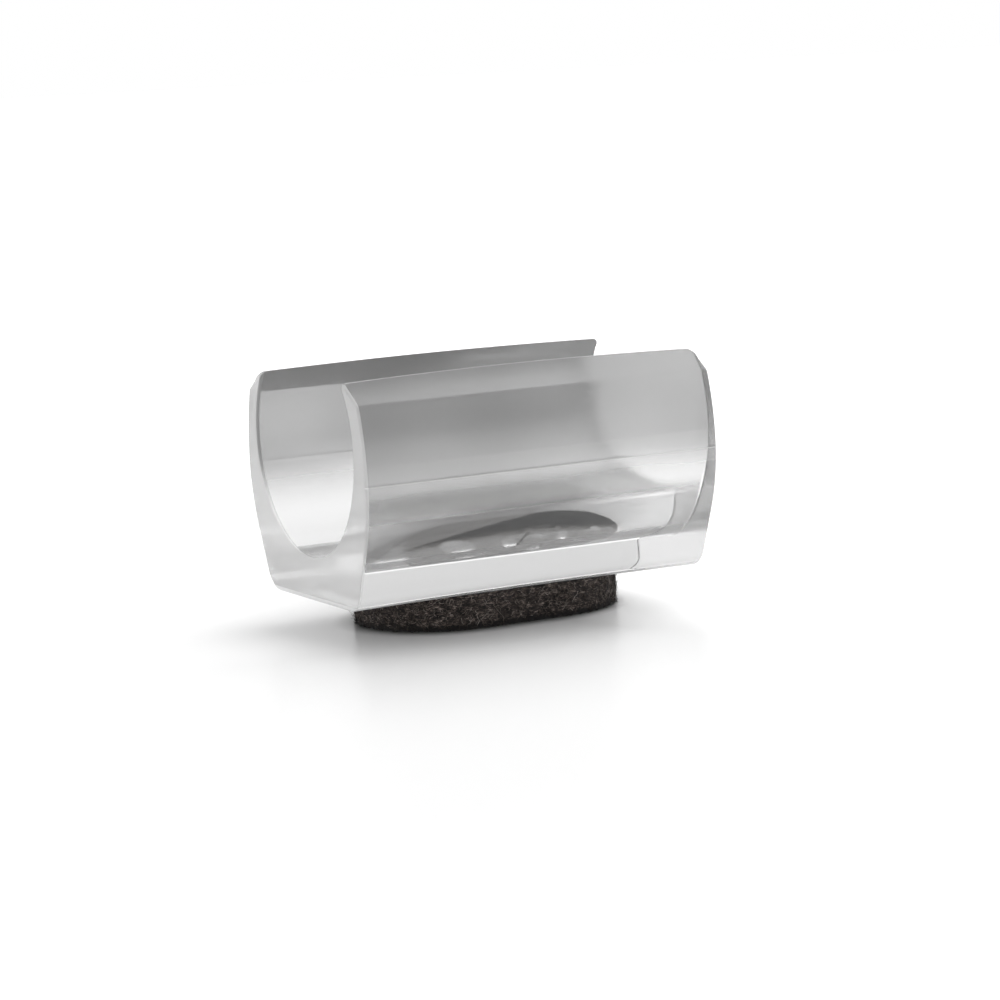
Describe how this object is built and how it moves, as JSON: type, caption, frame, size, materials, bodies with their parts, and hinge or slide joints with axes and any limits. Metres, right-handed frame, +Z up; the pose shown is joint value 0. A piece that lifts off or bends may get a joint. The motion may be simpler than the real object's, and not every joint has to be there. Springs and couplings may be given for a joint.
{
  "type": "clamp-on tube glide",
  "caption": "Clip-on furniture glide: a clear moulded clip that grips a round tube leg from below, with a felt pad stuck under its flat base.",
  "frame": {"origin": "on the floor, under the middle of the clip", "axes": "+X along the tube, +Y across it, +Z up out of the clip's open mouth"},
  "size_m": [0.0434, 0.0304, 0.0287],
  "materials": {
    "clear_plastic": "clear moulded plastic, slightly frosted",
    "adhesive": "clear film with trapped air",
    "felt": "dark brown pressed wool felt"
  },
  "bodies": {
    "root": {"clip_body": "clear_plastic", "adhesive_film": "adhesive", "felt_pad": "felt"}
  },
  "joints": []
}
